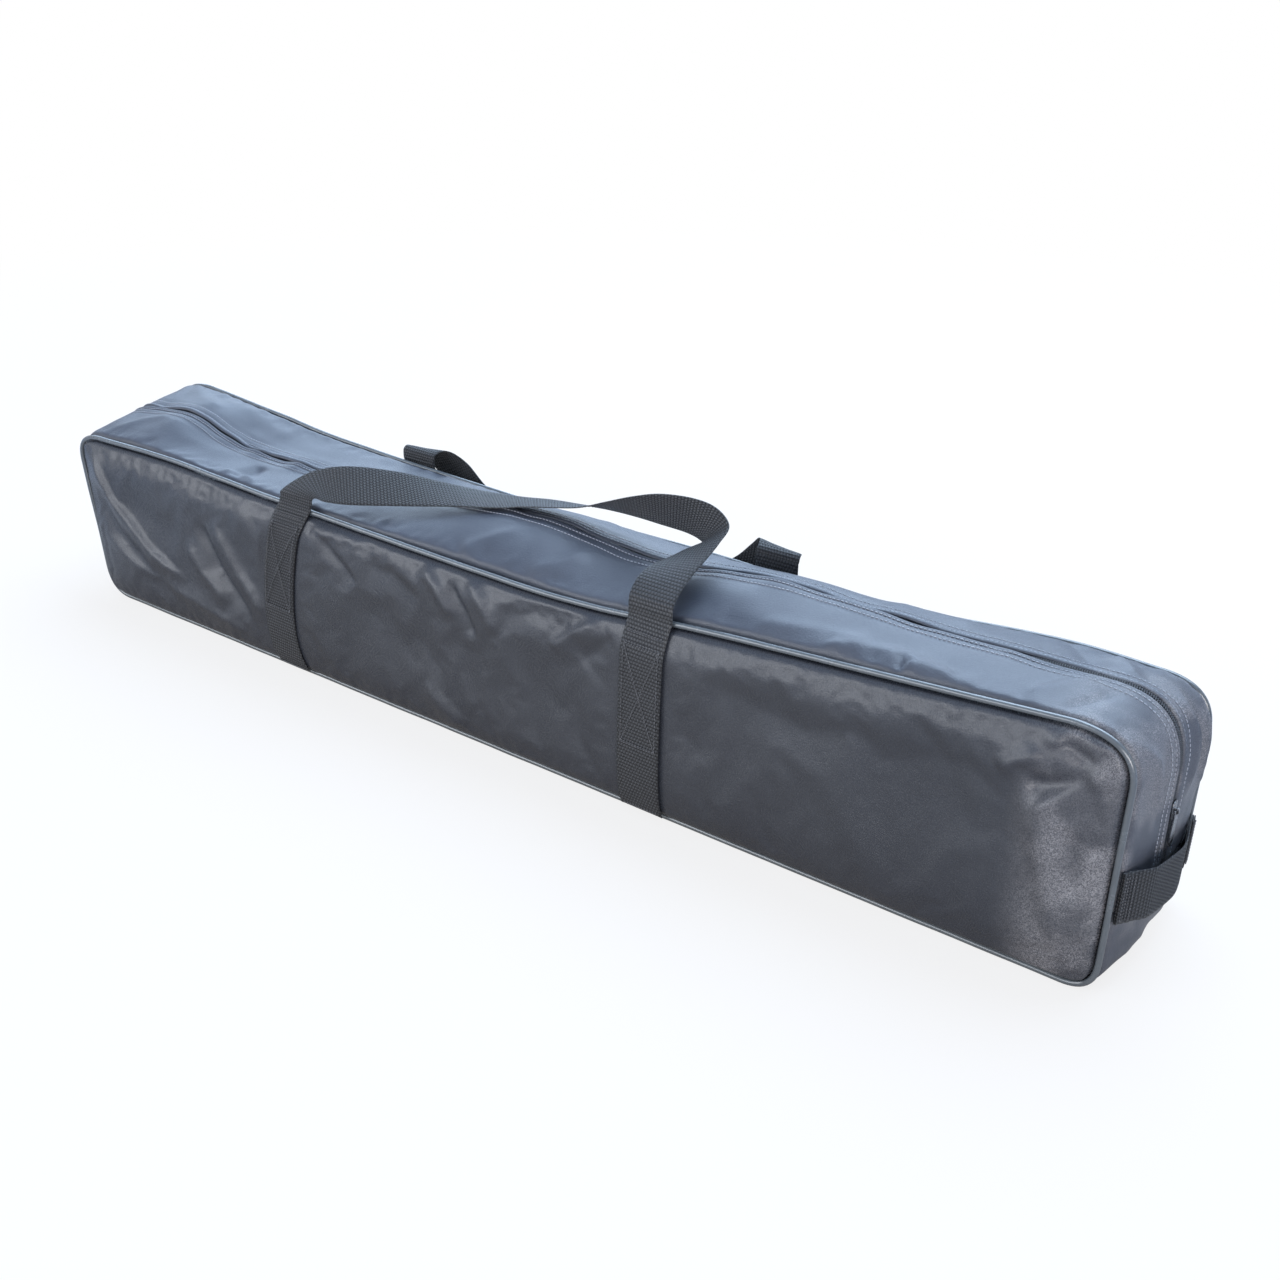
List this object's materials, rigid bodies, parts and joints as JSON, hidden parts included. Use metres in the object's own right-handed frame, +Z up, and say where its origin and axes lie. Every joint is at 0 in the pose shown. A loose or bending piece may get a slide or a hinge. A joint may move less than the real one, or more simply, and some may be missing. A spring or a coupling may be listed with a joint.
{
  "type": "portable pickleball net in its carry bag",
  "caption": "Long zipped carry bag with piped edges and webbing handles, holding a slip-fit tube frame, feet and rolled net for a portable court net.",
  "frame": {"origin": "middle of the bag's flat underside, on the floor", "axes": "+X along the bag to the end with the closed zip slider, -Y to the front panel, +Z up"},
  "size_m": [1.1108, 0.1879, 0.238],
  "materials": {
    "cloth": "satin coated nylon",
    "piping": "satin vinyl",
    "webbing": "ribbed polypropylene webbing",
    "zip_tape": "woven tape",
    "zip_coil": "satin nylon coil",
    "zip_metal": "satin nickel",
    "steel_tube": "black powder coat",
    "plug_plastic": "moulded",
    "foot_rubber": "matte",
    "net_mesh": "knotless polyethylene mesh",
    "net_tape": "woven vinyl tape",
    "strap": "hook and loop"
  },
  "bodies": {
    "bag": {"front_panel": "cloth", "back_panel": "cloth", "bottom_band": "cloth", "top_strip_front": "cloth", "top_strip_back": "cloth", "piping_front": "piping", "piping_back": "piping", "zip_tape_front": "zip_tape", "zip_tape_back": "zip_tape", "zip_teeth_front": "zip_coil", "zip_teeth_back": "zip_coil", "zip_stop_right": "zip_metal", "zip_stop_left": "zip_metal", "front_handle_run_left": "webbing", "front_handle_run_right": "webbing", "back_handle_run_left": "webbing", "back_handle_run_right": "webbing", "end_handle_right": "webbing", "end_handle_left": "webbing", "rail_tube_1": "steel_tube", "rail_tube_2": "steel_tube", "rail_tube_3": "steel_tube", "rail_tube_4": "steel_tube", "rail_tube_5": "steel_tube", "rail_tube_6": "steel_tube", "end_post_left": "steel_tube", "end_post_left_cap": "plug_plastic", "end_post_right": "steel_tube", "end_post_right_cap": "plug_plastic", "centre_post": "steel_tube", "centre_post_cap": "plug_plastic", "end_foot_left": "steel_tube", "end_foot_left_cap_near": "foot_rubber", "end_foot_left_cap_far": "foot_rubber", "end_foot_right": "steel_tube", "end_foot_right_cap_near": "foot_rubber", "end_foot_right_cap_far": "foot_rubber", "centre_foot": "steel_tube", "centre_foot_cap_near": "foot_rubber", "centre_foot_cap_far": "foot_rubber", "end_connector_left": "steel_tube", "end_connector_right": "steel_tube", "centre_connector": "steel_tube", "net_roll": "net_mesh", "net_top_tape": "net_tape", "net_strap_left": "strap", "net_strap_right": "strap"},
    "front_handle": {"front_handle_loop": "webbing"},
    "back_handle": {"back_handle_loop": "webbing"},
    "slider": {"zip_slider": "zip_metal"},
    "pull_tab": {"zip_pull_tab": "zip_metal"}
  },
  "joints": [
    {"name": "front_handle_swing", "type": "hinge", "parent": "bag", "child": "front_handle", "pos_m": [-0.0255, -0.0751, 0.1755], "axis": [1, 0, 0], "range_deg": [0, 170]},
    {"name": "back_handle_swing", "type": "hinge", "parent": "bag", "child": "back_handle", "pos_m": [-0.014, 0.0729, 0.1755], "axis": [1, 0, 0], "range_deg": [0, 140]},
    {"name": "zip_slider_slide", "type": "slide", "parent": "bag", "child": "slider", "axis": [0, 0, 1], "range_m": [-0.01, 0.018]},
    {"name": "pull_tab_swing", "type": "hinge", "parent": "slider", "child": "pull_tab", "pos_m": [0.5445, 0, 0.114], "axis": [0, -1, 0], "range_deg": [0, 150]}
  ]
}
